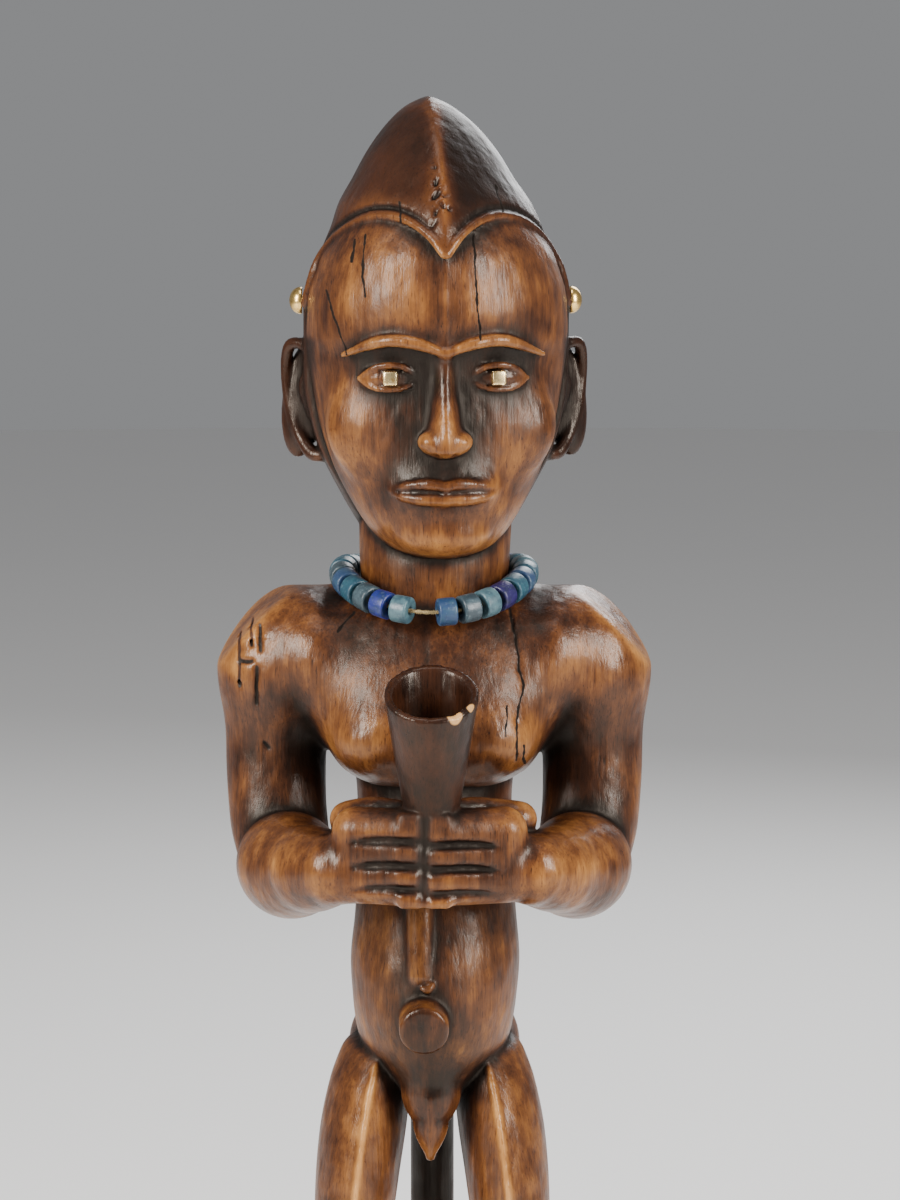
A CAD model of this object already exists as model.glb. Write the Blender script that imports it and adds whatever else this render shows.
import math

import bmesh
import bpy
import numpy as np
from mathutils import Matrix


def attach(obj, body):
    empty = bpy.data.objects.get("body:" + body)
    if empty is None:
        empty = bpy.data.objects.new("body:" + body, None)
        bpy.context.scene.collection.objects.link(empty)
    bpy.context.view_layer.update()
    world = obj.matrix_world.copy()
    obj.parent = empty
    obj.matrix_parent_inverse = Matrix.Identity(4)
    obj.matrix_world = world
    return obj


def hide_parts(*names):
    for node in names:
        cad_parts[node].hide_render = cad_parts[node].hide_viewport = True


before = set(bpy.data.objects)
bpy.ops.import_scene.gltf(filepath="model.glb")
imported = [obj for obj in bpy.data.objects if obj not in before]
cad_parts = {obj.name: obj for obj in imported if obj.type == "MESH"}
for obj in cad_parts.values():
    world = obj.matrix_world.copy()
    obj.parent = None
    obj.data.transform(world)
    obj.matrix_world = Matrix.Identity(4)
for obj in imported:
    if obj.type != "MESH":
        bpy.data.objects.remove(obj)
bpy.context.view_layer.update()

import openvdb
from mathutils import Matrix, Vector

# The carving's grid: 600 units from the underside of the base to the crown
CELL = 1.0
BAND = 6.0
LOW = np.array((-94.0, -116.0, -6.0))
HIGH = np.array((94.0, 88.0, 606.0))
COUNTS = np.ceil((HIGH - LOW) / CELL).astype(int) + 1
AXES = [LOW[i] + CELL * np.arange(COUNTS[i]) for i in range(3)]

HEAD_X = 1.0
HEAD_TURN = math.radians(3.7)
SOLE = 24
BASE_RADIUS = 80
BASE_ROUNDING = 3
POST_RADIUS = 9
POST_Y = 31
BEAD_COUNT = 26

# The camera, in metres
CAMERA_TARGET = (0.0064, 0, 0.400)
CAMERA_DISTANCE = 1.5
CAMERA_LIFT = math.radians(8)

HEAD_ROWS = [
    (421, 0, -36, 6, 13), (425, 0, -46, 14, 21), (432, 0, -51.5, 24, 28), (443, 0, -54, 33, 35),
    (455, 0, -54, 39, 41), (470, 0, -52.5, 43, 46), (485, 0, -52, 46, 49), (499, 0, -53, 47, 51),
    (508, 0, -56.5, 47, 51.5), (520, 0, -58, 47, 51), (535, 0, -57, 44, 47), (548, 0, -51.5, 38, 40.5),
    (556, 0, -45, 30, 34), (563, 0, -34, 20, 25), (569, 0, -14, 4, 9)]
HAIR_ROWS = [
    (426, 0, -20, 36, 28), (441, 0, -30, 45, 37), (465, 0, -45, 54, 48), (490, 0, -52, 59, 52.6),
    (515, 0, -59, 61, 52.6), (527, 0, -61, 61, 51.2), (541, 0, -60.5, 59, 45), (548, 0, -58.5, 57, 42),
    (558, -0.6, -53, 53, 38), (568, -1.2, -45, 47, 31.8), (577, -1.5, -36, 40, 26.6),
    (585, -1.9, -27, 32, 20.8),
    (591, -2.4, -19, 25, 15.2), (596, -2.9, -11, 18, 9), (600, -3, -1, 9, 1.2)]
NECK_ROWS = [(380, 0.3, -31, 28, 27.5), (400, 0.3, -31, 28.5, 28.4), (416, 0.3, -32, 29.5, 29.8),
        (434, 0.6, -29, 31, 30.5)]
TRUNK_ROWS = [
    (196, -1, -14, 22, 9), (204, -0.5, -26, 32, 17), (214, 0, -37, 37, 26), (227, 0, -45, 37, 31.3),
    (240, 0.2, -48, 34, 33), (256, 0.4, -46.5, 29, 34), (275, 0.6, -42, 27, 32.4),
    (295, 0.3, -38, 26.5, 31.2),
    (320, 0.2, -35, 28, 31), (345, 0.2, -34, 32, 33), (370, 0.2, -33, 34, 33), (392, 0.2, -30, 32, 30)]
CHEST_ROWS = [
    (332, 0.4, -45, 22, 33), (336, 0.4, -49.5, 26, 38), (343, 0.4, -52.5, 30, 43), (353, 0.4, -53.5, 34, 50),
    (365, 0.4, -52, 37, 57), (378, 0.4, -46.5, 38, 59), (388, 0.4, -40.5, 37, 56), (396, 0.4, -35, 35, 50),
    (404, 0.4, -27, 31, 38)]
HAIR_RIDGE = 1.0
ARCH_X = 21.3
ARCH_INNER = 28.2
ARCH_OUTER = 31.5
ARCH_FOOT = 510
ARCH_RISE = 44.3
HAIR_EDGE_Y = -4
EYE_WIDTH = 20.8
BROW_Z = 506
EYE_Z = 493
NOSE_Z = 465
MOUTH_Z = 450
HAND_SEAM = -3.3
HAND_TURN = 14

# x and z of each crack down the front, in millimetres
CRACKS = [
    [(-26.2, 547.1), (-27.4, 531), (-26.0, 524.5)],
    [(-30.2, 545.1), (-31.3, 537)],
    [(-41.4, 526), (-37.2, 513), (-33.4, 501.5)],
    [(15.2, 547.6), (16.5, 527), (18.2, 508)],
    [(29.7, 400.5), (31.6, 390.6), (33.2, 383), (32.9, 378.6), (35.3, 372), (32.4, 360), (32.3, 343.8)],
    [(28.4, 365.2), (27.6, 354)],
    [(35.0, 349.5), (35.6, 341)],
    [(-31.4, 398.5), (-37.7, 392.2)],
    [(-13, 560), (-12.4, 552)], [(24, 566), (27, 556)]]
# x, z and size of the bites out of the keel
GOUGES = [
    (0.5, 573, 0.9), (1.2, 568, 1.5), (2.2, 564, 2.0), (3.3, 560, 1.5), (1.2, 557, 1.1), (5.0, 563, 1.1),
    (3.4, 567, 0.9),
    (6.0, 558, 0.9), (0.4, 552, 0.8)]
CUTS = [
    [(-76.8, 387.7), (-76.4, 368.7)], [(-72.4, 393.3), (-72.0, 385.3)], [(-68.7, 392.9), (-68.2, 383.3)],
    [(-69.6, 377.1), (-69.9, 362.3)], [(-76.6, 378.7), (-71.7, 379.2)], [(-67, 346), (-65.6, 344)]]

field = np.full(COUNTS, BAND, np.float32)


def on_head(x, y, z):
    return (HEAD_X + x * math.cos(HEAD_TURN) - y * math.sin(HEAD_TURN),
            x * math.sin(HEAD_TURN) + y * math.cos(HEAD_TURN), z)


def into_head(x, y):
    """Grid places on the head's own turned axes."""
    c, s = math.cos(HEAD_TURN), math.sin(HEAD_TURN)
    return (x - HEAD_X) * c + y * s, y * c - (x - HEAD_X) * s


def along(points, values, places):
    steps = np.diff(points)
    slopes = np.diff(values) / steps
    ends = np.zeros(len(points))
    ends[0], ends[-1] = slopes[0], slopes[-1]
    for i in range(1, len(points) - 1):
        if slopes[i - 1] * slopes[i] > 0:
            ends[i] = 2 * slopes[i - 1] * slopes[i] / (slopes[i - 1] + slopes[i])
    places = np.clip(places, points[0], points[-1])
    i = np.clip(np.searchsorted(points, places) - 1, 0, len(points) - 2)
    points, values = np.asarray(points, float), np.asarray(values, float)
    t = (places - points[i]) / steps[i]
    near = values[i] * (2 * t ** 3 - 3 * t ** 2 + 1) + values[i + 1] * (3 * t ** 2 - 2 * t ** 3)
    return near + steps[i] * (ends[i] * (t ** 3 - 2 * t ** 2 + t) + ends[i + 1] * (t ** 3 - t ** 2))


def window(low, high, reach=BAND):
    """The part of the grid around a box, and its coordinates ready to broadcast."""
    first = [max(int((low[i] - reach - LOW[i]) / CELL), 0) for i in range(3)]
    last = [min(int((high[i] + reach - LOW[i]) / CELL) + 2, COUNTS[i]) for i in range(3)]
    cut = tuple(slice(a, b) for a, b in zip(first, last))
    x = AXES[0][cut[0]].astype(np.float32)[:, None, None]
    y = AXES[1][cut[1]].astype(np.float32)[None, :, None]
    z = AXES[2][cut[2]].astype(np.float32)[None, None, :]
    return cut, x, y, z


def joined(a, b, k):
    """Union with a fillet k wide."""
    if k <= 0:
        return np.minimum(a, b)
    h = np.maximum(k - np.abs(a - b), 0) / k
    return np.minimum(a, b) - h * h * (k / 4)


def common(a, b, k):
    return -joined(-a, -b, k)


def put(cut, shape, k):
    field[cut] = joined(field[cut], shape, k)


def take(cut, shape, k):
    field[cut] = common(field[cut], -shape, k)


def section(rows, z, ridge):
    heights = [row[0] for row in rows]
    middle, front, back, half = (along(heights, [row[i] for row in rows], z) for i in range(1, 5))
    return middle, (front + back) / 2, (back - front) / 2, half, ridge * half


def front_of(rows, ridge, x, z):
    middle, centre, depth, half, offset = section(rows, z, ridge)
    side = min((abs(x - middle) + offset) / (half + offset), 1.0)
    keel = 1 - (offset / (half + offset)) ** 2
    return centre - depth * math.sqrt(max(1 - side ** 2, 0) / keel)


def loft_shape(rows, ridge, x, y, z, round_ends=2.0):
    middle, centre, depth, half, offset = section(rows, z.ravel().astype(float), ridge)
    found = (middle, centre, depth, half, offset)
    middle, centre, depth, half, offset = (v.astype(np.float32)[None, None, :] for v in found)
    u = (np.abs(x - middle) + offset) / (half + offset)
    keel = 1 - (offset / (half + offset)) ** 2
    v = (y - centre) / depth
    ratio = np.sqrt(u * u + keel * v * v)
    # distance from the ratio by its slope
    slope = np.sqrt((u / (half + offset)) ** 2 + (keel * v / depth) ** 2) / np.maximum(ratio, 1e-6)
    shape = (ratio - 1) / np.maximum(slope, 1e-4)
    ends = np.maximum(rows[0][0] - z, z - rows[-1][0])
    return common(shape, ends + 0 * shape, round_ends)


def add_loft(rows, ridge=0.0, turned=False, k=1.0, round_ends=2.0, box=None):
    wide = max(abs(row[1]) + row[4] for row in rows) + (6 if turned else 0)
    low = (-wide, min(row[2] for row in rows) - (4 if turned else 0), rows[0][0])
    high = (wide, max(row[3] for row in rows) + (4 if turned else 0), rows[-1][0])
    if box:
        low, high = box
    cut, x, y, z = window(low, high)
    if turned:
        x, y = into_head(x, y)
    put(cut, loft_shape(rows, ridge, x, y, z, round_ends), k)


def tilt_of(turn):
    tilt = np.identity(3)
    for axis, angle in zip("XYZ", turn):
        tilt = np.array(Matrix.Rotation(math.radians(angle), 3, axis)) @ tilt
    return tilt


def local(x, y, z, centre, turn):
    x, y, z = x - centre[0], y - centre[1], z - centre[2]
    if not any(turn):
        return x, y, z
    tilt = tilt_of(turn)
    return tuple(x * tilt[0, i] + y * tilt[1, i] + z * tilt[2, i] for i in range(3))


def ball_shape(x, y, z, centre, radii, turn=(0, 0, 0)):
    x, y, z = local(x, y, z, centre, turn)
    a, b, c = radii
    ratio = np.sqrt((x / a) ** 2 + (y / b) ** 2 + (z / c) ** 2) + 1e-6
    slope = np.sqrt((x / a ** 2) ** 2 + (y / b ** 2) ** 2 + (z / c ** 2) ** 2) + 1e-6
    return ratio * (ratio - 1) / slope


def add_ball(centre, radii, turn=(0, 0, 0), k=3.0, cut_away=False):
    reach = max(radii)
    cut, x, y, z = window([c - reach for c in centre], [c + reach for c in centre])
    shape = ball_shape(x, y, z, centre, radii, turn)
    (take if cut_away else put)(cut, shape, k)


def block_shape(x, y, z, centre, half, turn, soft):
    x, y, z = local(x, y, z, centre, turn)
    q = [np.abs(v) - (h - soft) for v, h in zip((x, y, z), half)]
    outside = np.sqrt(sum(np.maximum(v, 0) ** 2 for v in q))
    return outside + np.minimum(np.maximum(np.maximum(q[0], q[1]), q[2]), 0) - soft


def add_block(centre, half, turn=(0, 0, 0), soft=1.0, k=1.0, cut_away=False):
    reach = math.sqrt(sum(h * h for h in half))
    cut, x, y, z = window([c - reach for c in centre], [c + reach for c in centre])
    shape = block_shape(x, y, z, centre, half, turn, soft)
    (take if cut_away else put)(cut, shape, k)


def rounded_route(points, radii, parts=5):
    """The same smooth route as a curve through the points, in short straight steps."""
    points = [np.array(p, float) for p in points]
    route, sizes = [], []
    for i in range(len(points) - 1):
        p0 = points[max(i - 1, 0)]
        p1, p2 = points[i], points[i + 1]
        p3 = points[min(i + 2, len(points) - 1)]
        for j in range(parts):
            t = j / parts
            place = 0.5 * (2 * p1 + (p2 - p0) * t + (2 * p0 - 5 * p1 + 4 * p2 - p3) * t * t
                           + (3 * p1 - p0 - 3 * p2 + p3) * t ** 3)
            route.append(place)
            sizes.append(radii[i] + (radii[i + 1] - radii[i]) * (3 * t * t - 2 * t ** 3))
    route.append(points[-1])
    sizes.append(radii[-1])
    return route, sizes


def tube_shape(x, y, z, route, sizes):
    shape = None
    for (p, q, a, b) in zip(route, route[1:], sizes, sizes[1:]):
        d = q - p
        run = (x - p[0]) * d[0] + (y - p[1]) * d[1] + (z - p[2]) * d[2]
        h = np.clip(run / max(float(d @ d), 1e-9), 0, 1)
        across = (x - p[0] - h * d[0]) ** 2 + (y - p[1] - h * d[1]) ** 2 + (z - p[2] - h * d[2]) ** 2
        gap = np.sqrt(across) - (a + (b - a) * h)
        shape = gap if shape is None else np.minimum(shape, gap)
    return shape


def add_tube(points, radii, k=2.0, cut_away=False, parts=5):
    route, sizes = rounded_route(points, radii, parts)
    reach = max(sizes)
    low = np.min(route, axis=0) - reach
    high = np.max(route, axis=0) + reach
    cut, x, y, z = window(low, high)
    (take if cut_away else put)(cut, tube_shape(x, y, z, route, sizes), k)


def hairline(x):
    reach = ARCH_INNER if abs(x) < ARCH_X else ARCH_OUTER
    return ARCH_FOOT + ARCH_RISE * math.sqrt(max(1 - ((abs(x) - ARCH_X) / reach) ** 2, 0))


def carve_head():
    add_loft(HEAD_ROWS, turned=True, k=0)
    # hair shell, open in front under the arches
    cut, x, y, z = window((-62, -72, 422), (62, 70, 602))
    x, y = into_head(x, y)
    shell = loft_shape(HAIR_ROWS, HAIR_RIDGE, x, y, z, 2.5)
    away = np.abs(x)
    reach = np.where(away < ARCH_X, ARCH_INNER, ARCH_OUTER)
    ratio = np.sqrt(((away - ARCH_X) / reach) ** 2 + (np.maximum(z - ARCH_FOOT, 0) / ARCH_RISE) ** 2)
    arch = (ratio - 1) * 30
    opening = common(arch, (y - HAIR_EDGE_Y) + 0 * arch, 1.0)
    shell = common(shell, -opening, 1.2)
    put(cut, shell, 0.8)
    del shell, arch, ratio, opening


def hair_point(x, lift=0.0, out=0.0, side=1):
    z = hairline(x) + lift
    y = front_of(HAIR_ROWS, HAIR_RIDGE, x, z) - out
    return on_head(side * x, y, z)


def carve_rim():
    places = [0.8 + (ARCH_X + ARCH_OUTER - 1.4) * (i / 15) for i in range(16)]
    for side in (-1, 1):
        rim = [hair_point(x, 0.2, -0.5, side) for x in places]
        add_tube(rim, [1.7] * len(rim), k=0.6, parts=3)
        groove = [hair_point(x, 3.2 + 0.5 * (x / 50), 0.3, side) for x in places[1:-1]]
        add_tube(groove, [0.4] + [1.0] * (len(groove) - 2) + [0.4], k=0.8, cut_away=True, parts=3)


def carve_face():
    eye = EYE_WIDTH
    for side in (-1, 1):
        # socket under the brow
        add_ball(on_head(side * eye * 1.02, -57, EYE_Z - 1.5), (15.5, 8.5, 9.0),
                (0, 0, math.degrees(HEAD_TURN) + side * 14), k=3.0, cut_away=True)
        brow = [(1.0, -57.0, BROW_Z - 3.2), (eye * 0.55, -56.9, BROW_Z + 0.6),
                (eye * 1.15, -52.6, BROW_Z + 1.2), (eye * 1.85, -41.5, BROW_Z - 4.5)]
        add_tube([on_head(side * x, y, z) for x, y, z in brow], [1.6, 2.3, 2.3, 1.2], k=2.0)
        add_ball(on_head(side * eye, -44.0, EYE_Z), (eye / 2 + 0.8, 7.2, 5.6),
                (0, 0, math.degrees(HEAD_TURN) + side * 13), k=0.6)
        upper = [(eye * 0.46, -49.8, -0.4), (eye * 0.72, -51.6, 3.9), (eye, -51.3, 5.0),
                (eye * 1.3, -48.8, 3.8), (eye * 1.56, -43.6, -0.4)]
        lower = [(eye * 0.46, -49.8, -0.4), (eye * 0.72, -51.0, -3.6), (eye, -50.6, -4.6),
                (eye * 1.3, -48.2, -3.8), (eye * 1.56, -43.6, -0.4)]
        add_tube([on_head(side * x, y, EYE_Z + z) for x, y, z in upper], [0.7, 1.25, 1.4, 1.25, 0.7], k=0.5)
        add_tube([on_head(side * x, y, EYE_Z + z) for x, y, z in lower], [0.7, 1.0, 1.1, 1.0, 0.7], k=0.5)
        add_ball(on_head(side * 6.2, -55, NOSE_Z + 3.8), (4.4, 6.5, 4.0), k=1.5)
        add_ball(on_head(side * 25, -32.0, 473), (19, 12.5, 18), k=10)
    nose = [(NOSE_Z - 2.5, 0, -59, -40, 5), (NOSE_Z + 0.5, 0, -64, -40, 7.6), (NOSE_Z + 5, 0, -64, -40, 7),
            (NOSE_Z + 15, 0, -60.5, -40, 5.6), (EYE_Z, 0, -57, -40, 4.6), (BROW_Z - 3, 0, -56.5, -40, 5.4),
            (BROW_Z + 1, 0, -56.5, -40, 7)]
    add_loft(nose, 0.25, True, k=2.5, box=(on_head(-14, -70, NOSE_Z - 4), on_head(14, -36, BROW_Z + 3)))
    for side in (-1, 1):
        add_ball(on_head(side * 3.6, -60.5, NOSE_Z - 1.6), (1.7, 2.2, 1.6), k=0.6, cut_away=True)
    add_ball(on_head(0, -46, MOUTH_Z), (20, 10.2, 10.5), k=5)
    add_ball(on_head(0, -43, 431.5), (16, 9.5, 8), k=5)
    add_tube([on_head(0, -57.6, MOUTH_Z + 5.5), on_head(0, -57.6, MOUTH_Z + 10.5)], [1.3, 0.9], k=2.0,
            cut_away=True)
    for side in (-1, 1):
        upper = [(0, -56.6, 1.5), (eye * 0.3, -56.4, 2.6), (eye * 0.7, -53.0, 1.7), (eye * 0.98, -47.8, -0.5)]
        lower = [(0, -56.3, -3.5), (eye * 0.4, -55.4, -3.4), (eye * 0.75, -52.0, -2.5),
                (eye * 0.98, -47.8, -0.5)]
        parting = [(0, -58.6, -0.9), (eye * 0.4, -57.6, -0.6), (eye * 0.75, -53.8, -0.5),
                (eye * 1.02, -48.6, -0.6)]
        add_tube([on_head(side * x, y, MOUTH_Z + z) for x, y, z in upper], [2.0, 2.0, 1.6, 0.8], k=0.9)
        add_tube([on_head(side * x, y, MOUTH_Z + z) for x, y, z in lower], [2.3, 2.2, 1.8, 0.8], k=0.9)
        add_tube([on_head(side * x, y, MOUTH_Z + z) for x, y, z in parting], [0.8, 0.8, 0.7, 0.5], k=0.6,
                cut_away=True)
        carve_ear(side)
    line = [on_head(0, front_of(HEAD_ROWS, 0, 0, z) + 0.4, z) for z in (BROW_Z + 1, 515, 524, 533, 539)]
    add_tube(line, [0.9, 0.8, 0.75, 0.75, 0.9], k=1.0)


def carve_ear(side):
    x0, y0 = 50, 6
    add_ball(on_head(side * (x0 + 2.0), y0 + 6.5, 480), (9.5, 4.6, 24), (0, -side * 9, side * 24), k=2.0)
    rim = [(x0 - 1, y0 - 4, 499.5), (x0 + 4, y0, 502.5), (x0 + 8, y0 + 4, 501), (x0 + 9.2, y0 + 7, 492),
           (x0 + 7.8, y0 + 7, 478), (x0 + 3.5, y0 + 4, 465), (x0 - 0.5, y0, 459), (x0 - 4, y0 - 3, 458)]
    add_tube([on_head(side * x, y, z) for x, y, z in rim], [1.9, 2.3, 2.4, 2.3, 2.3, 2.6, 2.9, 2.6], k=1.2,
            parts=8)
    inner_fold = [(x0 - 1, y0 - 2, 494), (x0 + 3, y0 + 1, 486), (x0, y0, 474)]
    add_tube([on_head(side * x, y, z) for x, y, z in inner_fold], [1.4, 1.5, 1.3], k=0.8)


def carve_trunk():
    add_loft(TRUNK_ROWS, k=0)
    add_loft(CHEST_ROWS, k=1.2, round_ends=3.0)
    add_tube([(-58, 3, 385), (0, 6, 391), (58, 3, 385)], [20, 15, 20], k=6)
    for side in (-1, 1):
        add_ball((side * 20 + 0.4, -32, 352), (21, 22.5, 19), (8, 0, 0), k=5)
        add_ball((side * 26, 22, 362), (25, 16, 32), (0, side * 12, 0), k=8)
        add_ball((side * 15, 21, 213), (20, 22, 23), k=8)
        shift = 0.6 if side > 0 else -0.4
        add_ball((side * 59.5 + shift, -2, 374), (26, 27, 30.5), k=5)
        add_ball((side * 45, -9, 380), (19, 25.5, 22), (0, side * 18, 0), k=9)
        upper = [(side * 62 + shift, -3, 372), (side * 63 + shift, -3, 340), (side * 62 + shift, -8, 315),
                (side * 59 + shift, -15, 300)]
        add_tube(upper, [22, 20, 19.5, 18.5], k=6, parts=14)
    # shoulder shelf
    cut, x, y, z = window((-94, -60, 372), (94, 20, 420))
    shelf = 410.4 + 0.15 * np.minimum(y, 0) - np.maximum(np.abs(x) - 40, 0) ** 2 / 65
    shelf = shelf + np.maximum(y, 0) * 0.25
    over = (z - shelf) * 0.95
    field[cut] = common(field[cut], over, 1.6)


def carve_all():
    carve_trunk()
    add_loft(NECK_ROWS, k=0.8)
    carve_head()
    carve_rim()
    carve_face()
    carve_belly()
    for side in (-1, 1):
        carve_forearm(side)
        carve_hand(side)
        carve_leg(side)
    carve_finger_lines()
    carve_cup()
    carve_foot_and_base()
    carve_marks()


def carve_belly():
    add_tube([(-5.2, -36.6, 296), (-5.2, -41.0, 272), (-5.2, -43.8, 257)], [5.8, 5.4, 4.8], k=1.8, parts=10)
    add_tube([(-4.6, -48.0, 252.6), (-2.4, -48.3, 251.9), (-0.6, -47.6, 254.0)], [1.0, 1.4, 1.1], k=1.2)
    # sternum line
    add_tube([(-3.7, -36.5, 395), (-3.4, -43.4, 386), (-3.2, -50.5, 372), (-2.6, -54.5, 355)],
            [0.6, 1.1, 1.2, 0.5], k=2.0, cut_away=True)
    # navel: a drum that leans down
    cut, x, y, z = window((-18, -68, 222), (12, -30, 254))
    px, py, pz = local(x, y, z, (-3.8, -46, 239), (97, 0, 0))
    drum = common(np.sqrt(px ** 2 + py ** 2) - 9.8, np.abs(pz) - 12, 2.0)
    put(cut, drum, 1.6)
    wedge = [(-0.8, -25, 222), (-1.1, -27.5, 207), (-1.3, -30.5, 194), (-1.4, -32, 180)]
    add_tube(wedge, [15, 12.2, 7.2, 2.0], k=5.0, parts=10)
    ridge = [(-1.3, -39.2, 205), (-1.4, -37.6, 194), (-1.4, -34.4, 181)]
    add_tube(ridge, [0.6, 1.3, 1.0], k=2.0)


def carve_forearm(side):
    shift = 0.6 if side > 0 else -0.4
    fore = [(side * 58 + shift, -20, 298.5), (side * 56 + shift, -36, 299.5),
            (side * 48 + shift, -57, 302.5), (side * 38 + shift, -74, 306)]
    add_tube(fore, [19.5, 21, 17, 14], k=1.8, parts=14)


def carve_hand(side):
    middle = 19.5 if side > 0 else 17.5
    add_block((side * middle + HAND_SEAM, -82.5, 313), (middle + 0.5, 9.5, 18.6), (0, 0, side * HAND_TURN),
            soft=9.0, k=4.0)
    add_block((side * 5 + HAND_SEAM, -84, 313), (5.4, 10, 18.6), soft=2.4, k=2.0)
    thumb = [(side * 33, -66, 324), (side * 22 + HAND_SEAM, -68, 328), (side * 10 + HAND_SEAM, -73, 328.5)]
    add_tube(thumb, [7, 5, 4.5], k=2.0)


def hand_front(away):
    """How far forward the hands reach at a distance from the seam between them."""
    return max(-94.0, -96.3 + 0.249 * away)


def carve_finger_lines():
    for side in (-1, 1):
        length = 26 if side > 0 else 26
        heights = (318.8, 309.5, 299.8) if side > 0 else (320.2, 310.7, 301.6)
        for z in heights:
            line = []
            for t in (0.0, 0.25, 0.5, 0.75, 1.0):
                away = 1.0 + length * t
                line.append((HAND_SEAM + side * away, hand_front(away) + 0.2,
                        z + 0.9 * math.sin(3.1 * t) - 0.6 * t))
            add_tube(line, [1.7, 1.7, 1.6, 1.4, 0.4], k=1.8, cut_away=True, parts=6)
    add_tube([(HAND_SEAM, -94.2, 335), (HAND_SEAM - 0.3, -94.4, 313), (HAND_SEAM, -94.2, 290)],
            [2.1, 2.0, 2.1], k=1.4,
             cut_away=True, parts=6)


CUP_LEAN = 9
RIM_LEAN = 17
CUP_HEIGHT = 52.5


def carve_cup():
    cut, x, y, z = window((-22, -112, 290), (22, -60, 392))
    px, py, pz = local(x, y, z, (-0.6, -81, 325), (CUP_LEAN, 0, 0))
    wide = 9.2 + (18.1 - 9.2) * np.maximum(pz / CUP_HEIGHT, 0) ** 0.9
    r = np.sqrt(px ** 2 + py ** 2)
    lean = math.radians(CUP_LEAN)
    rim = local(x, y, z, (-0.6, -81 - math.sin(lean) * CUP_HEIGHT, 325 + math.cos(lean) * CUP_HEIGHT),
                (CUP_LEAN + RIM_LEAN, 0, 0))[2] + 0 * r
    cup = common((r - wide) * 0.98, rim, 1.0)
    cup = common(cup, -pz - 28, 1.0)
    put(cut, cup, 0.6)
    deep = np.clip((pz - (CUP_HEIGHT - 30)) / 6, 0, 1)
    inner = (wide - 3.0) * np.sqrt(0.2 + 0.8 * deep)
    hollow = np.maximum(r - inner, (CUP_HEIGHT - 30) - pz)
    take(cut, hollow, 0.8)


def carve_leg(side):
    x = -0.8
    thigh = [(222, side * 21 + x, -24, 22, 14), (205, side * 25 + x, -33, 22, 16.5),
            (186, side * 28 + x, -38, 19, 17.5),
             (165, side * 30.5 + x, -41, 12, 16.8), (145, side * 32 + x, -42, 3, 15.5),
             (128, side * 32.5 + x, -42, -6, 14.5),
             (112, side * 32.5 + x, -38, -4, 13)]
    thigh = list(reversed(thigh))
    low = (min(r[1] - r[4] for r in thigh), -44, 112)
    high = (max(r[1] + r[4] for r in thigh), 26, 222)
    add_loft(thigh, 0.75, k=1.2, round_ends=6, box=(low, high))
    heights = (216, 206, 196, 186, 176, 166, 156, 146, 136, 128)
    middles = [section(thigh, z, 0.75)[0] for z in heights]
    edge = [(middle, front_of(thigh, 0.75, middle, z) + 0.5, z) for middle, z in zip(middles, heights)]
    add_tube(edge, [0.7] + [1.0] * 8 + [0.6], k=1.4, parts=3)
    calf = [(side * 32.5 + x, -20, 122), (side * 33 + x, -7, 98), (side * 33 + x, 1, 76),
            (side * 32.5 + x, 2, 52), (side * 32.5 + x, 1, 38)]
    add_tube(calf, [16, 18, 18, 13, 12.5], k=5, parts=10)
    add_ball((side * 32.5 + x, -29, 121), (14.5, 14, 15), k=4)
    add_ball((side * 32.5 + x, 4, 88), (15.5, 17, 27), k=6)
    foot = [(side * 32.5 + x, 8, 31), (side * 33.5 + x, -12, 30), (side * 35 + x, -30, 28)]
    add_tube(foot, [13.5, 13, 11.5], k=3)
    for i in range(5):
        toe = side * (26.5 + i * 4.4) + x
        add_tube([(toe, -30, 27), (toe + side, -44 + i * 1.4, 27)], [3.6, 3.0], k=0.8)


def carve_foot_and_base():
    cut, x, y, z = window((-14, 18, 20), (12, 44, 212))
    r = np.sqrt((x + 1) ** 2 + (y - POST_Y) ** 2)
    post = np.maximum(r - POST_RADIUS, np.abs(z - 115) - 95)
    put(cut, post, 2.0)
    cut, x, y, z = window((-82, -82, 0), (82, 82, 24))
    r = np.sqrt(x ** 2 + y ** 2) - (BASE_RADIUS - BASE_ROUNDING)
    h = np.abs(z - SOLE / 2) - (SOLE / 2 - BASE_ROUNDING)
    disc = np.sqrt(np.maximum(r, 0) ** 2 + np.maximum(h, 0) ** 2)
    disc = disc + np.minimum(np.maximum(r, h), 0) - BASE_ROUNDING
    put(cut, disc, 1.2)


def on_front(x, z, deep):
    """A place just inside the carved surface as seen from the front."""
    i = int(round((x - LOW[0]) / CELL))
    k = int(round((z - LOW[2]) / CELL))
    column = field[i, :, k]
    first = int(np.argmax(column < 0))
    crossing = first - column[first] / min(column[first] - column[first - 1], -1e-3)
    return (x, LOW[1] + CELL * crossing + deep, z)


def carve_marks():
    for points in CUTS:
        add_tube([on_front(x, z, 0.0) for x, z in points], [0.85] * len(points), k=0.8, cut_away=True,
                parts=3)
    for i, (x, z, radius) in enumerate(GOUGES):
        turn = (0, 25 * (i % 3 - 1) + 10, 0)
        add_ball(on_front(x, z, 0.1), (0.65 * radius, radius, 2.2 * radius), turn, k=1.2, cut_away=True)
    add_ball((8.6, -102.4, 371.8), (3.2, 2.6, 1.9), k=0.5, cut_away=True)
    for points in CRACKS[4:5]:
        add_tube([on_front(x, z, 0.1) for x, z in points], [0.55] * len(points), k=0.5, cut_away=True,
                parts=2)


def skin():
    grid = openvdb.FloatGrid(BAND)
    grid.copyFromArray(field)
    points, quads = grid.convertToQuads(0.0)
    points = points * CELL + LOW
    return points, quads


MM = 0.001
FIGURE_TRIANGLES = 190000


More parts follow.
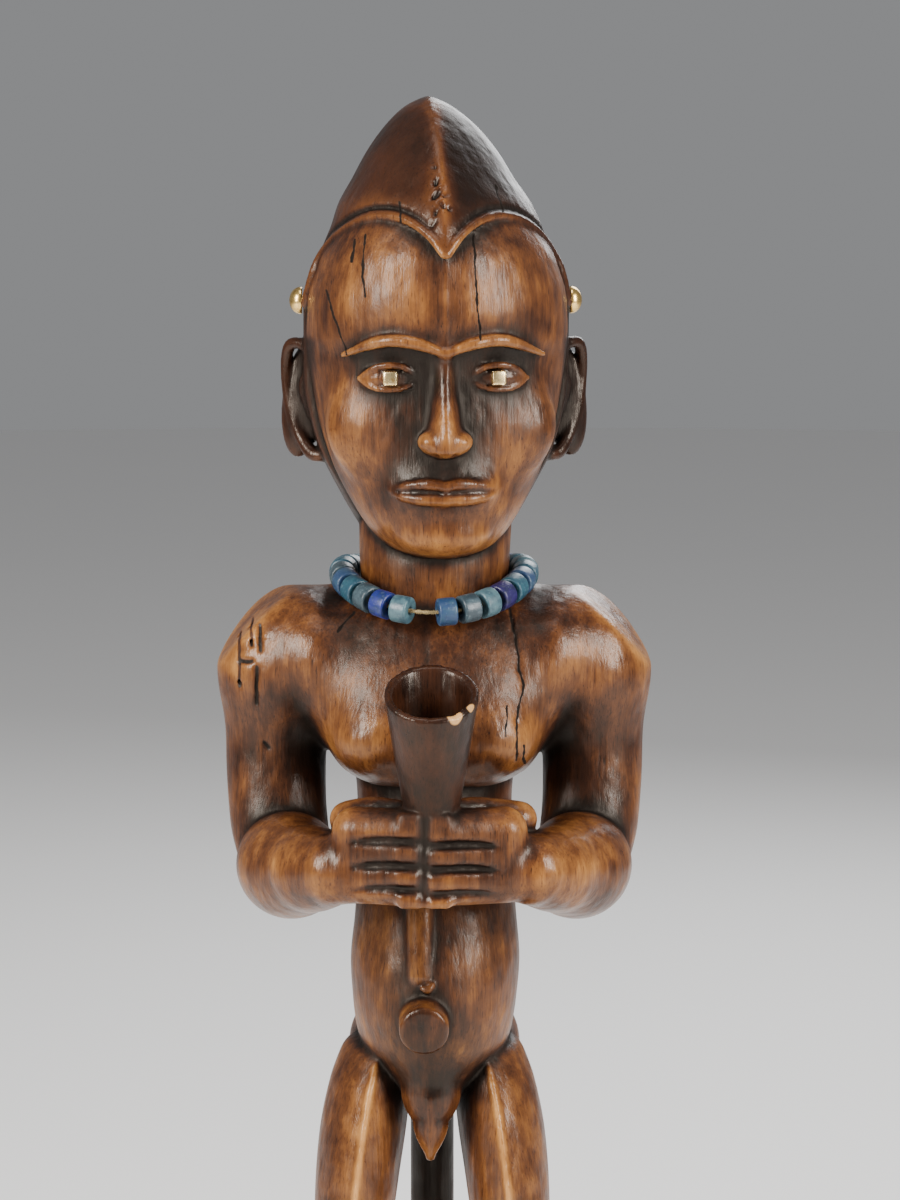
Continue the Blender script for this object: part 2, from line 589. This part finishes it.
def soft_field(width):
    """The field averaged over a box, on every second cell."""
    coarse = field[::2, ::2, ::2]
    for axis in range(3):
        for _ in range(2):
            total = np.cumsum(coarse, axis=axis, dtype=np.float32)
            total = np.concatenate([np.zeros_like(np.take(total, [0], axis)), total], axis)
            n = total.shape[axis]
            upper = np.minimum(np.arange(n - 1) + width // 2 + 1, n - 1)
            lower = np.maximum(np.arange(n - 1) - width // 2, 0)
            span = (upper - lower).reshape([-1 if i == axis else 1 for i in range(3)])
            coarse = (np.take(total, upper, axis) - np.take(total, lower, axis)) / span
    return coarse


def sampled(values, points, cell):
    """Values of a grid at points, blended between its cells."""
    place = (points - LOW) / cell
    first = np.clip(np.floor(place).astype(int), 0, np.array(values.shape) - 2)
    part = np.clip(place - first, 0, 1)
    result = 0
    for corner in range(8):
        step = np.array([(corner >> i) & 1 for i in range(3)])
        weight = np.prod(np.where(step, part, 1 - part), axis=1)
        i, j, k = (first + step).T
        result = result + weight * values[i, j, k]
    return result


def ramp(low, high, values):
    t = np.clip((values - low) / (high - low), 0, 1)
    return t * t * (3 - 2 * t)


def patch(p, centre, radii):
    """1 at a centre, fading to 0 at its radii."""
    d = sum(((p[:, i] - centre[i]) / radii[i]) ** 2 for i in range(3))
    return np.clip(1 - d, 0, 1)


def make_figure():
    carve_all()
    points, quads = skin()
    mesh = bpy.data.meshes.new("figure_carving")
    mesh.vertices.add(len(points))
    mesh.vertices.foreach_set("co", (points * MM).astype(np.float32).ravel())
    mesh.loops.add(quads.size)
    mesh.loops.foreach_set("vertex_index", quads[:, ::-1].astype(np.int32).ravel())
    mesh.polygons.add(len(quads))
    mesh.polygons.foreach_set("loop_start", np.arange(0, quads.size, 4, dtype=np.int32))
    mesh.update(calc_edges=True)
    mesh.validate()
    raw = bpy.data.objects.new("raw_carving", mesh)
    bpy.context.scene.collection.objects.link(raw)
    lighter = raw.modifiers.new("lighter", "DECIMATE")
    lighter.ratio = FIGURE_TRIANGLES / (2 * len(quads))
    light = bpy.data.meshes.new_from_object(raw.evaluated_get(bpy.context.evaluated_depsgraph_get()))
    bpy.data.objects.remove(raw)
    light.name = "carved_figure"
    light.shade_smooth()
    figure = bpy.data.objects.new("carved_figure", light)
    bpy.context.scene.collection.objects.link(figure)
    colour_regions(light)
    return figure


def store(mesh, name, values):
    layer = mesh.attributes.new(name, "FLOAT", "POINT")
    layer.data.foreach_set("value", values.astype(np.float32))


def colour_regions(mesh):
    count = len(mesh.vertices)
    p = np.empty(count * 3, np.float32)
    mesh.vertices.foreach_get("co", p)
    p = p.reshape(-1, 3) / MM
    normal = np.empty(count * 3, np.float32)
    mesh.vertices.foreach_get("normal", normal)
    normal = normal.reshape(-1, 3)
    fine = sampled(soft_field(3), p, 2 * CELL)
    broad = sampled(soft_field(9), p, 2 * CELL)
    edge = np.clip(fine / 0.55, -1, 1)
    bulge = np.clip(broad / 2.2, -1, 1)
    x, y, z = p.T
    hx, hy = into_head(x, y)
    # coiffure behind and above the hairline
    away = np.abs(hx)
    reach = np.where(away < ARCH_X, ARCH_INNER, ARCH_OUTER)
    arch = np.sqrt(((away - ARCH_X) / reach) ** 2 + (np.maximum(z - ARCH_FOOT, 0) / ARCH_RISE) ** 2)
    above = np.maximum((arch - 1) * 30, (hy - HAIR_EDGE_Y + 1) * 1.0)
    hair = ramp(-1.0, 1.5, above) * ramp(428, 434, z)
    ear = ramp(47.5, 50.5, np.abs(hx)) * ramp(452, 458, z) * (1 - ramp(504, 508, z))
    dark = np.maximum(hair, ear)
    tone = np.full(count, 0.50)
    # the forehead, the left cheek and the jaw are rubbed light
    light = 0.22 * patch(p, (-20, -52, 528), (26, 30, 26)) + 0.16 * patch(p, (20, -54, 528), (22, 30, 24))
    light += 0.22 * patch(p, (-30, -40, 470), (16, 30, 34)) + 0.1 * patch(p, (0, -52, 437), (34, 30, 13))
    light += 0.12 * patch(p, (32, -40, 455), (14, 30, 30))
    deep = 0.20 * patch(p, (0, -58, EYE_Z), (46, 30, 13))
    deep += 0.18 * patch(p, (0, -58, MOUTH_Z + 4), (26, 30, 17))
    light += 0.14 * patch(p, (-38, -45, 362), (30, 30, 26)) + 0.14 * patch(p, (36, -45, 366), (28, 30, 30))
    light += 0.10 * patch(p, (-62, -25, 385), (26, 30, 20)) + 0.12 * patch(p, (64, -25, 382), (26, 30, 22))
    light += 0.14 * patch(p, (-48, -60, 308), (26, 30, 14)) + 0.16 * patch(p, (45, -62, 308), (30, 30, 15))
    light += 0.10 * patch(p, (-20, -45, 262), (15, 30, 32)) + 0.12 * patch(p, (24, -45, 258), (14, 30, 34))
    light += 0.12 * patch(p, (-30, -38, 185), (12, 30, 55)) + 0.09 * patch(p, (30, -38, 185), (14, 30, 55))
    deep += 0.16 * patch(p, (0, -30, 338), (44, 30, 22)) + 0.22 * patch(p, (-3.8, -60, 238), (13, 16, 13))
    deep += 0.12 * patch(p, (0, -92, 312), (36, 20, 26)) + 0.2 * patch(p, (3, -50, 563), (8, 12, 14))
    deep += 0.14 * patch(p, (-52, 0, 338), (18, 30, 34)) + 0.14 * patch(p, (52, 0, 338), (18, 30, 34))
    deep += 0.36 * patch(p, (0, -78, 335), (42, 30, 9)) + 0.20 * patch(p, (0, -40, 300), (34, 30, 18))
    deep += 0.16 * patch(p, (0, -40, 206), (16, 40, 26)) + 0.2 * patch(p, (0, 10, 180), (16, 60, 60))
    deep += 0.24 * patch(p, (-3.8, -60, 235), (16, 18, 16))
    light += 0.16 * patch(p, (0, -33, 408), (34, 24, 18))
    tone = tone + light - deep
    tone = tone - 0.10 * ramp(0.2, 0.9, normal[:, 1]) - 0.06 * ramp(-0.2, -0.9, normal[:, 2])
    cup = cup_near(p)
    tone = tone * (1 - dark) + dark * 0.20
    tone = tone * (1 - cup) + cup * 0.24
    wear = 0.16 * np.maximum(edge, 0) ** 1.3 + 0.10 * np.maximum(bulge, 0)
    wear -= 0.22 * np.maximum(-edge, 0) + 0.12 * np.maximum(-bulge, 0)
    tone = tone + wear * (1 - 0.9 * cup) * (1 - 0.6 * ear)
    # the keel of the coiffure is worn to the orange wood
    keel = np.exp(-(hx / 1.3) ** 2) * ramp(0.3, 1.0, hair) * ramp(0, -8, y) * ramp(548, 556, z)
    tone = tone + 0.14 * keel + 0.10 * hair * ramp(0, -20, hx) * ramp(0, -20, y)
    tone = tone - 0.07 * hair * ramp(0, 6, hx)
    thigh_x = np.interp(z, (125, 145, 165, 186, 205, 222), (32.5, 32.0, 30.5, 28.0, 25.0, 21.0))
    crest = np.exp(-((np.abs(x + 0.8) - thigh_x) / 1.1) ** 2)
    crest = crest * ramp(122, 132, z) * ramp(222, 214, z) * ramp(0, -12, y)
    tone = tone + 0.22 * crest - 0.03
    olive = patch(p, (-2, -45, 222), (34, 30, 22)) + 0.5 * patch(p, (-14, -48, 250), (18, 30, 26))
    gloss = 0.5 + 0.5 * ramp(-0.4, 0.4, bulge) - 0.5 * np.maximum(-edge, 0)
    # the fingers are dry wood, without the shine of the chest and forehead
    gloss = gloss * (1 - 0.85 * patch(p, (-3, -94, 334), (46, 24, 26)))
    store(mesh, "tone", np.clip(tone, 0.02, 1))
    store(mesh, "olive", np.clip(olive, 0, 1))
    store(mesh, "gloss", np.clip(gloss, 0, 1))
    store(mesh, "black", np.clip(np.maximum(dark, 0.5 * cup), 0, 1))


def cup_near(p):
    """1 on the cup and 0 on the hands that hold it."""
    x, y, z = local(p[:, 0], p[:, 1], p[:, 2], (-0.6, -81, 325), (CUP_LEAN, 0, 0))
    r = np.sqrt(x ** 2 + y ** 2)
    wide = 9.2 + (18.1 - 9.2) * np.maximum(z / CUP_HEIGHT, 0) ** 0.9
    return ramp(2.5, 0.8, r - wide) * ramp(5.0, 8.0, z)


class Finish:
    """A node material built a node at a time."""

    def __init__(self, name):
        self.material = bpy.data.materials.new(name)
        self.material.use_nodes = True
        self.tree = self.material.node_tree
        self.shader = self.tree.nodes["Principled BSDF"]
        self.place = self.tree.nodes.new("ShaderNodeTexCoord").outputs["Object"]

    def feed(self, value, socket):
        if isinstance(value, bpy.types.NodeSocket):
            self.tree.links.new(value, socket)
        else:
            socket.default_value = value

    def math(self, operation, a, b=0.0, clamp=False):
        node = self.tree.nodes.new("ShaderNodeMath")
        node.operation = operation
        node.use_clamp = clamp
        self.feed(a, node.inputs[0])
        self.feed(b, node.inputs[1])
        return node.outputs[0]

    def vector(self, operation, a, b=(0, 0, 0)):
        node = self.tree.nodes.new("ShaderNodeVectorMath")
        node.operation = operation
        self.feed(a, node.inputs[0])
        if operation == "SCALE":
            self.feed(b, node.inputs["Scale"])
        else:
            self.feed(b, node.inputs[1])
        return node.outputs["Value" if operation in ("DOT_PRODUCT", "LENGTH") else "Vector"]

    def noise(self, place, scale, detail=4.0, roughness=0.55):
        node = self.tree.nodes.new("ShaderNodeTexNoise")
        self.feed(place, node.inputs["Vector"])
        self.feed(scale, node.inputs["Scale"])
        self.feed(detail, node.inputs["Detail"])
        self.feed(roughness, node.inputs["Roughness"])
        return node.outputs["Fac"]

    def wander(self, place, scale):
        node = self.tree.nodes.new("ShaderNodeTexNoise")
        self.feed(place, node.inputs["Vector"])
        self.feed(scale, node.inputs["Scale"])
        return node.outputs["Color"]

    def spread(self, value, low, high, new_low=0.0, new_high=1.0, smooth=True):
        node = self.tree.nodes.new("ShaderNodeMapRange")
        node.interpolation_type = "SMOOTHSTEP" if smooth else "LINEAR"
        for socket, number in zip(node.inputs[:5], (value, low, high, new_low, new_high)):
            self.feed(number, socket)
        return node.outputs[0]

    def colours(self, value, stops):
        node = self.tree.nodes.new("ShaderNodeValToRGB")
        self.feed(value, node.inputs[0])
        marks = node.color_ramp.elements
        while len(marks) < len(stops):
            marks.new(1.0)
        for mark, (where, colour) in zip(marks, stops):
            mark.position = where
            mark.color = (*colour, 1)
        return node.outputs[0]

    def mix(self, amount, a, b, kind="MIX"):
        node = self.tree.nodes.new("ShaderNodeMix")
        node.data_type = "RGBA"
        node.blend_type = kind
        self.feed(amount, node.inputs[0])
        self.feed(a if isinstance(a, bpy.types.NodeSocket) else (*a, 1), node.inputs[6])
        self.feed(b if isinstance(b, bpy.types.NodeSocket) else (*b, 1), node.inputs[7])
        return node.outputs[2]

    def attribute(self, name):
        node = self.tree.nodes.new("ShaderNodeAttribute")
        node.attribute_name = name
        return node.outputs["Fac"]

    def bump(self, height, strength, depth, under=None):
        node = self.tree.nodes.new("ShaderNodeBump")
        self.feed(strength, node.inputs["Strength"])
        self.feed(depth, node.inputs["Distance"])
        self.feed(height, node.inputs["Height"])
        if under is not None:
            self.feed(under, node.inputs["Normal"])
        return node.outputs[0]

    def set(self, **values):
        for name, value in values.items():
            self.feed(value, self.shader.inputs[name.replace("_", " ")])

    def line(self, flat, points):
        """Distance to a line drawn through points on the front."""
        nearest = None
        for (ax, az), (bx, bz) in zip(points, points[1:]):
            long = (bx - ax) ** 2 + (bz - az) ** 2
            off = self.vector("SUBTRACT", flat, (ax, 0, az))
            t = self.vector("DOT_PRODUCT", off, ((bx - ax) / long, 0, (bz - az) / long))
            t = self.math("ADD", t, 0.0, clamp=True)
            back = self.vector("SCALE", (bx - ax, 0, bz - az), t)
            gap = self.vector("LENGTH", self.vector("SUBTRACT", off, back))
            nearest = gap if nearest is None else self.math("MINIMUM", nearest, gap)
        return nearest


WOOD = [
    (0.00, (0.0030, 0.0014, 0.0010)), (0.14, (0.0100, 0.0036, 0.0020)), (0.30, (0.034, 0.0105, 0.0042)),
    (0.46, (0.090, 0.0300, 0.0086)), (0.62, (0.190, 0.0730, 0.0180)), (0.80, (0.330, 0.1480, 0.0400)),
    (1.00, (0.480, 0.2350, 0.0750))]


def wood():
    f = Finish("carved_wood_patina")
    mm = f.vector("SCALE", f.place, 1000.0)
    wander = f.vector("SCALE", f.vector("SUBTRACT", f.wander(mm, 0.12), (0.5, 0.5, 0.5)), 2.4)
    loose = f.vector("ADD", mm, wander)
    flat = f.vector("MULTIPLY", loose, (1, 0, 1))
    long_grain = f.vector("MULTIPLY", mm, (1.0, 1.0, 0.045))
    short_grain = f.vector("MULTIPLY", mm, (1.0, 1.0, 0.14))
    grain = f.noise(long_grain, 0.85, 3.0, 0.6)
    streak = f.noise(short_grain, 0.22, 3.0, 0.6)
    fibre = f.noise(long_grain, 2.6, 1.0, 0.6)
    blotch = f.noise(mm, 0.05, 2.0, 0.6)
    stain = f.noise(f.vector("MULTIPLY", mm, (1, 1, 0.6)), 0.17, 4.0, 0.65)
    tone = f.attribute("tone")
    black = f.attribute("black")
    calm = f.math("SUBTRACT", 1.0, f.math("MULTIPLY", black, 0.72))
    shift = f.math("MULTIPLY", f.math("SUBTRACT", blotch, 0.54), 0.50)
    shift = f.math("ADD", shift, f.math("MULTIPLY", f.math("SUBTRACT", stain, 0.52), 0.36))
    shift = f.math("ADD", shift, f.math("MULTIPLY", f.math("SUBTRACT", streak, 0.51), 0.32))
    shift = f.math("ADD", shift, f.math("MULTIPLY", f.math("SUBTRACT", grain, 0.5), 0.26))
    shift = f.math("MULTIPLY", shift, calm)
    pores = f.spread(f.noise(f.vector("MULTIPLY", mm, (1, 1, 0.10)), 1.9, 2.0, 0.5), 0.60, 0.72)
    shift = f.math("SUBTRACT", shift, f.math("MULTIPLY", pores, 0.17))
    tone = f.math("ADD", tone, shift, clamp=True)
    front = f.spread(f.vector("DOT_PRODUCT", mm, (0, -1, 0)), 0.0, 12.0)
    crack = None
    for points in CRACKS:
        gap = f.line(flat, points)
        crack = gap if crack is None else f.math("MINIMUM", crack, gap)
    width = f.math("MULTIPLY", f.noise(mm, 0.35, 1.0), 0.80)
    crack_mask = f.math("MULTIPLY", f.spread(f.math("SUBTRACT", crack, width), -0.22, 0.12, 1.0, 0.0), front)
    cut = None
    for points in CUTS:
        gap = f.line(flat, points)
        cut = gap if cut is None else f.math("MINIMUM", cut, gap)
    cut_mask = f.math("MULTIPLY", f.spread(cut, 0.25, 0.85, 0.5, 0.0), front)
    lines = f.math("MAXIMUM", crack_mask, cut_mask)
    tone = f.math("SUBTRACT", tone, f.math("MULTIPLY", lines, 0.8), clamp=True)
    colour = f.colours(tone, WOOD)
    olive = f.math("MULTIPLY", f.attribute("olive"), 0.55)
    colour = f.mix(olive, colour, f.mix(1.0, colour, (0.72, 0.86, 0.62), "MULTIPLY"))
    # pale wood shows where the rim of the cup is chipped
    chip_gap = f.vector("LENGTH", f.vector("SUBTRACT", loose, (8.4, -102.2, 370.4)))
    chip = f.spread(chip_gap, 2.7, 3.5, 1.0, 0.0)
    nick_gap = f.vector("LENGTH", f.vector("SUBTRACT", loose, (14.8, -97.2, 373.2)))
    chip_two = f.spread(nick_gap, 1.5, 2.2, 1.0, 0.0)
    chip = f.math("MAXIMUM", chip, chip_two)
    colour = f.mix(chip, colour, (0.50, 0.27, 0.10))
    facet = f.noise(f.vector("MULTIPLY", mm, (1, 1, 0.62)), 0.13, 1.0, 0.5)
    height = f.math("ADD", f.math("MULTIPLY", facet, 1.2), f.math("MULTIPLY", grain, 0.20))
    low_relief = f.math("ADD", f.math("MULTIPLY", fibre, 0.05), f.math("MULTIPLY", stain, 0.34))
    height = f.math("ADD", height, low_relief)
    height = f.bump(height, 0.7, 0.0010)
    gloss = f.attribute("gloss")
    rough = f.math("SUBTRACT", 0.55, f.math("MULTIPLY", gloss, 0.24))
    rough = f.math("ADD", rough, f.math("MULTIPLY", f.math("SUBTRACT", stain, 0.5), 0.22))
    rough = f.math("ADD", rough, f.math("MULTIPLY", lines, 0.5), clamp=True)
    wax = f.math("MULTIPLY", f.math("MULTIPLY", calm, f.math("SUBTRACT", 1.0, lines)), 0.15)
    f.set(Base_Color=colour, Roughness=rough, Normal=height, Coat_Roughness=0.2)
    f.set(Coat_Weight=f.math("MULTIPLY", wax, gloss))
    f.set(Coat_Normal=height)
    f.shader.inputs["Specular IOR Level"].default_value = 0.28
    f.shader.inputs["Specular Tint"].default_value = (1.0, 0.86, 0.72, 1.0)
    return f.material


def brass(name, tint):
    f = Finish(name)
    mm = f.vector("SCALE", f.place, 1000.0)
    tarnish = f.noise(mm, 0.5, 4.0, 0.6)
    spots = f.spread(f.noise(mm, 1.3, 3.0), 0.62, 0.72)
    colour = f.mix(f.spread(tarnish, 0.45, 0.75), tint, (0.42, 0.22, 0.05))
    colour = f.mix(f.math("MULTIPLY", spots, 0.6), colour, (0.16, 0.08, 0.02))
    rough = f.math("ADD", f.math("MULTIPLY", tarnish, 0.25), 0.14)
    f.set(Base_Color=colour, Roughness=rough, Metallic=1.0, Normal=f.bump(tarnish, 0.15, 0.0004))
    return f.material


def glass(name, tint, second):
    f = Finish(name)
    mm = f.vector("SCALE", f.place, 1000.0)
    cloud = f.noise(mm, 0.28, 4.0, 0.6)
    worn = f.noise(mm, 0.9, 4.0, 0.65)
    colour = f.mix(f.spread(cloud, 0.42, 0.66), tint, second)
    colour = f.mix(f.math("MULTIPLY", f.spread(worn, 0.58, 0.74), 0.55), colour, (0.012, 0.016, 0.022))
    colour = f.mix(f.math("MULTIPLY", f.spread(worn, 0.42, 0.30), 0.25), colour, (0.34, 0.42, 0.44))
    rough = f.math("ADD", f.math("MULTIPLY", worn, 0.40), 0.16)
    height = f.bump(worn, 0.25, 0.0005)
    f.set(Base_Color=colour, Roughness=rough, Normal=height)
    return f.material


def straw():
    f = Finish("straw_string")
    mm = f.vector("SCALE", f.place, 1000.0)
    fibre = f.noise(mm, 2.4, 4.0, 0.7)
    colour = f.mix(f.spread(fibre, 0.35, 0.7), (0.16, 0.11, 0.045), (0.42, 0.32, 0.15))
    f.set(Base_Color=colour, Roughness=0.85, Normal=f.bump(fibre, 0.5, 0.0003))
    return f.material


def plain(name, tint, rough):
    f = Finish(name)
    mottle = f.noise(f.place, 3.0, 2.0)
    f.set(Base_Color=f.mix(f.math("MULTIPLY", mottle, 0.05), tint, (0.6, 0.6, 0.6)), Roughness=rough)
    return f.material


def show(name, mesh, material):
    piece = bpy.data.objects.new(name, mesh)
    bpy.context.scene.collection.objects.link(piece)
    mesh.materials.clear()
    mesh.materials.append(material)
    mesh.shade_smooth()
    return piece


def points_of(node):
    return np.array([vertex.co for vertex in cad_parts[node].data.vertices])


def turned_mesh(name, profile, steps, closed):
    """Profile of radius and height turned about Z."""
    rows = []
    for radius, height in profile:
        angles = np.arange(steps) * 2 * math.pi / steps
        rows += [(radius * math.cos(a), radius * math.sin(a), height) for a in angles]
    faces = []
    count = len(profile)
    for i in range(count if closed else count - 1):
        for j in range(steps):
            a, b = i * steps + j, i * steps + (j + 1) % steps
            c, d = ((i + 1) % count) * steps + (j + 1) % steps, ((i + 1) % count) * steps + j
            faces.append((a, b, c, d))
    mesh = bpy.data.meshes.new(name)
    mesh.from_pydata(rows, [], faces)
    form = bmesh.new()
    form.from_mesh(mesh)
    bmesh.ops.remove_doubles(form, verts=form.verts, dist=1e-6)
    bmesh.ops.recalc_face_normals(form, faces=form.faces)
    form.to_mesh(mesh)
    form.free()
    return mesh


BEAD_RADIUS = 0.0056
BEAD_HALF = 0.0038
BEAD_HOLE = 0.0016
BEAD_ROUNDING = 0.0009


def bead_profile(radius, half):
    profile = [(BEAD_HOLE, -half + 0.0004), (BEAD_HOLE, half - 0.0004), (BEAD_HOLE + 0.0004, half)]
    for i in range(6):
        a = math.radians(90 - 90 * i / 5)
        profile.append((radius - BEAD_ROUNDING * (1 - math.cos(a)), half - BEAD_ROUNDING * (1 - math.sin(a))))
    profile.append((radius * 1.01, 0))
    for i in range(6):
        a = math.radians(90 * i / 5)
        profile.append((radius - BEAD_ROUNDING * (1 - math.cos(a)),
                -half + BEAD_ROUNDING * (1 - math.sin(a))))
    profile.append((BEAD_HOLE + 0.0004, -half))
    return profile


def make_beads():
    grey_teal = glass("grey_teal_glass", (0.060, 0.120, 0.140), (0.025, 0.060, 0.080))
    dark_grey = glass("dark_grey_glass", (0.020, 0.036, 0.046), (0.045, 0.072, 0.086))
    teal = glass("teal_glass", (0.012, 0.050, 0.078), (0.022, 0.078, 0.105))
    cobalt = glass("cobalt_glass", (0.010, 0.018, 0.150), (0.008, 0.022, 0.080))
    violet = glass("violet_glass", (0.014, 0.008, 0.075), (0.008, 0.010, 0.036))
    blue = glass("blue_glass", (0.014, 0.038, 0.095), (0.022, 0.058, 0.100))
    names = ["bead_%02d" % i for i in range(1, BEAD_COUNT + 1)]
    last = BEAD_COUNT - 1
    half_way = BEAD_COUNT // 2
    centres = np.array([points_of(name).mean(axis=0) for name in names])
    right = [blue, dark_grey, grey_teal, violet, teal, blue, teal, grey_teal, teal, cobalt, teal,
            dark_grey, teal]
    left = [grey_teal, cobalt, dark_grey, teal, blue, dark_grey, teal, teal, grey_teal, teal, violet, blue,
            teal]
    luck = np.random.default_rng(7)
    first_is_right = centres[0][0] > centres[-1][0]
    for i, name in enumerate(names):
        if i == 0:
            way = centres[1] - centres[0]
        elif i == last:
            way = centres[last] - centres[last - 1]
        else:
            way = centres[i + 1] - centres[i - 1]
        pts = points_of(name) - centres[i]
        spread, axes = np.linalg.eigh(pts.T @ pts)
        way = way / np.linalg.norm(way)
        best = max(range(3), key=lambda k: abs(axes[:, k] @ way))
        axis = axes[:, best] if abs(axes[:, best] @ way) > 0.95 else way
        from_gap = i if i < half_way else last - i
        colours = right if (i < half_way) == first_is_right else left
        radius = BEAD_RADIUS * (1 - 0.05 * luck.random())
        half = BEAD_HALF * (1 - 0.05 * luck.random())
        mesh = turned_mesh("%s_glass" % name, bead_profile(radius, half), 32, True)
        tilt = Vector(axis).to_track_quat("Z", "Y").to_matrix().to_4x4()
        mesh.transform(Matrix.Translation(Vector(centres[i])) @ tilt @ Matrix.Rotation(luck.random() * 6,
                4, "Z"))
        bead = show("%s_glass" % name, mesh, colours[from_gap])
        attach(bead, "root")
        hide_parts(name)
    return centres


def make_string(centres):
    cord = points_of("necklace_string")
    middle = (centres[0] + centres[-1]) / 2
    near = cord[np.argsort(np.linalg.norm(cord - middle, axis=1))[:24]].mean(axis=0)
    path = list(centres) + [near]
    count = len(path)
    strands = []
    line = []
    for i in range(count):
        p0, p1, p2, p3 = (np.array(path[(i + k) % count]) for k in (-1, 0, 1, 2))
        for j in range(14):
            t = j / 14
            line.append(0.5 * (2 * p1 + (p2 - p0) * t + (2 * p0 - 5 * p1 + 4 * p2 - p3) * t * t
                               + (3 * p1 - p0 - 3 * p2 + p3) * t ** 3))
    line = np.array(line)
    n = len(line)
    form = bmesh.new()
    turns = 150
    for strand in range(2):
        rings = []
        for i in range(n):
            ahead = Vector(line[(i + 1) % n] - line[i - 1]).normalized()
            side = ahead.cross(Vector((0, 0, 1))).normalized()
            up = side.cross(ahead)
            a = 2 * math.pi * (turns * i / n) + strand * math.pi
            centre = Vector(line[i]) + (side * math.cos(a) + up * math.sin(a)) * 0.0005
            ring = []
            for k in range(7):
                b = 2 * math.pi * k / 7
                ring.append(form.verts.new(centre + (side * math.cos(b) + up * math.sin(b)) * 0.00055))
            rings.append(ring)
        for i in range(n):
            a_ring, b_ring = rings[i], rings[(i + 1) % n]
            for k in range(7):
                form.faces.new((a_ring[k], a_ring[(k + 1) % 7], b_ring[(k + 1) % 7], b_ring[k]))
    bmesh.ops.recalc_face_normals(form, faces=form.faces)
    mesh = bpy.data.meshes.new("two_ply_string")
    form.to_mesh(mesh)
    form.free()
    string = show("two_ply_string", mesh, straw())
    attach(string, "root")
    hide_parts("necklace_string")


def make_stud(side):
    name = "temple_stud_left" if side < 0 else "temple_stud_right"
    pts = points_of(name)
    out = np.array((side * math.cos(HEAD_TURN), side * math.sin(HEAD_TURN), 0))
    reach = pts @ out
    base = pts[reach < reach.min() + 0.0003].mean(axis=0)
    tall = reach.max() - reach.min()
    off = pts - np.outer(reach, out)
    radius = np.linalg.norm(off - off.mean(axis=0), axis=1).max()
    profile = [(0, 0), (radius * 0.97, 0), (radius, 0.0005)]
    for i in range(12):
        a = math.radians(90 * (i + 1) / 12)
        profile.append((radius * math.cos(a), 0.0005 + (tall - 0.0005) * math.sin(a)))
    mesh = turned_mesh("%s_dome" % name, profile, 40, False)
    mesh.transform(Matrix.Translation(Vector(base)) @ Vector(out).to_track_quat("Z",
            "Y").to_matrix().to_4x4())
    stud = show("%s_dome" % name, mesh, TACK)
    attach(stud, "root")
    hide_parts(name)


def make_pupil(name):
    form = bmesh.new()
    form.from_mesh(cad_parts[name].data)
    bmesh.ops.remove_doubles(form, verts=form.verts, dist=1e-6)
    bmesh.ops.dissolve_limit(form, angle_limit=math.radians(3), verts=form.verts, edges=form.edges)
    bmesh.ops.bevel(form, geom=form.edges[:], offset=0.0005, segments=3, profile=0.5, affect="EDGES")
    mesh = bpy.data.meshes.new("%s_plate" % name)
    form.to_mesh(mesh)
    form.free()
    plate = show("%s_plate" % name, mesh, PUPIL)
    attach(plate, "root")
    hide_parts(name)


def lamp(name, place, aim, wide, high, power, tint):
    light = bpy.data.lights.new(name, "AREA")
    light.shape = "RECTANGLE"
    light.size = wide
    light.size_y = high
    light.energy = power
    light.color = tint
    item = bpy.data.objects.new(name, light)
    bpy.context.scene.collection.objects.link(item)
    item.location = place
    item.rotation_euler = (Vector(aim) - Vector(place)).to_track_quat("-Z", "Y").to_euler()


def set_studio():
    floor_mesh = bpy.data.meshes.new("floor")
    form = bmesh.new()
    bmesh.ops.create_circle(form, cap_ends=True, segments=96, radius=5.0)
    form.to_mesh(floor_mesh)
    form.free()
    floor = show("floor", floor_mesh, plain("pale_floor", (0.90, 0.89, 0.88), 0.6))
    world = bpy.data.worlds.new("soft_room")
    world.use_nodes = True
    world.node_tree.nodes["Background"].inputs[0].default_value = (0.80, 0.81, 0.83, 1)
    world.node_tree.nodes["Background"].inputs[1].default_value = 0.32
    bpy.context.scene.world = world
    lamp("left_front", (-1.05, -0.85, 0.95), (0, 0, 0.38), 0.34, 0.9, 40, (1.0, 0.98, 0.95))
    lamp("right_front", (1.05, -0.80, 0.85), (0, 0, 0.38), 0.30, 0.9, 34, (1.0, 0.98, 0.96))
    lamp("overhead", (0.0, -0.2, 1.6), (0, 0, 0.4), 0.5, 0.5, 4, (1.0, 1.0, 1.0))
    lamp("back", (0.4, 1.2, 1.1), (0, 0, 0.4), 0.6, 0.9, 12, (0.96, 0.98, 1.0))


def set_camera():
    lens = bpy.data.cameras.new("photo_view")
    lens.sensor_fit = "VERTICAL"
    lens.sensor_height = 36
    lens.lens = 112.5
    camera = bpy.data.objects.new("photo_view", lens)
    bpy.context.scene.collection.objects.link(camera)
    way = Vector((0, -math.cos(CAMERA_LIFT), math.sin(CAMERA_LIFT)))
    camera.location = Vector(CAMERA_TARGET) + CAMERA_DISTANCE * way
    camera.rotation_euler = (-way).to_track_quat("-Z", "Y").to_euler()
    bpy.context.scene.camera = camera


WOOD_FINISH = wood()
TACK = brass("tack_brass_finish", (0.86, 0.58, 0.20))
PUPIL = brass("pupil_brass_finish", (0.86, 0.66, 0.34))

figure = make_figure()
figure.data.materials.clear()
figure.data.materials.append(WOOD_FINISH)
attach(figure, "root")
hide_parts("figure")
bead_centres = make_beads()
make_string(bead_centres)
for side in (-1, 1):
    make_stud(side)
make_pupil("pupil_left")
make_pupil("pupil_right")
set_studio()
set_camera()
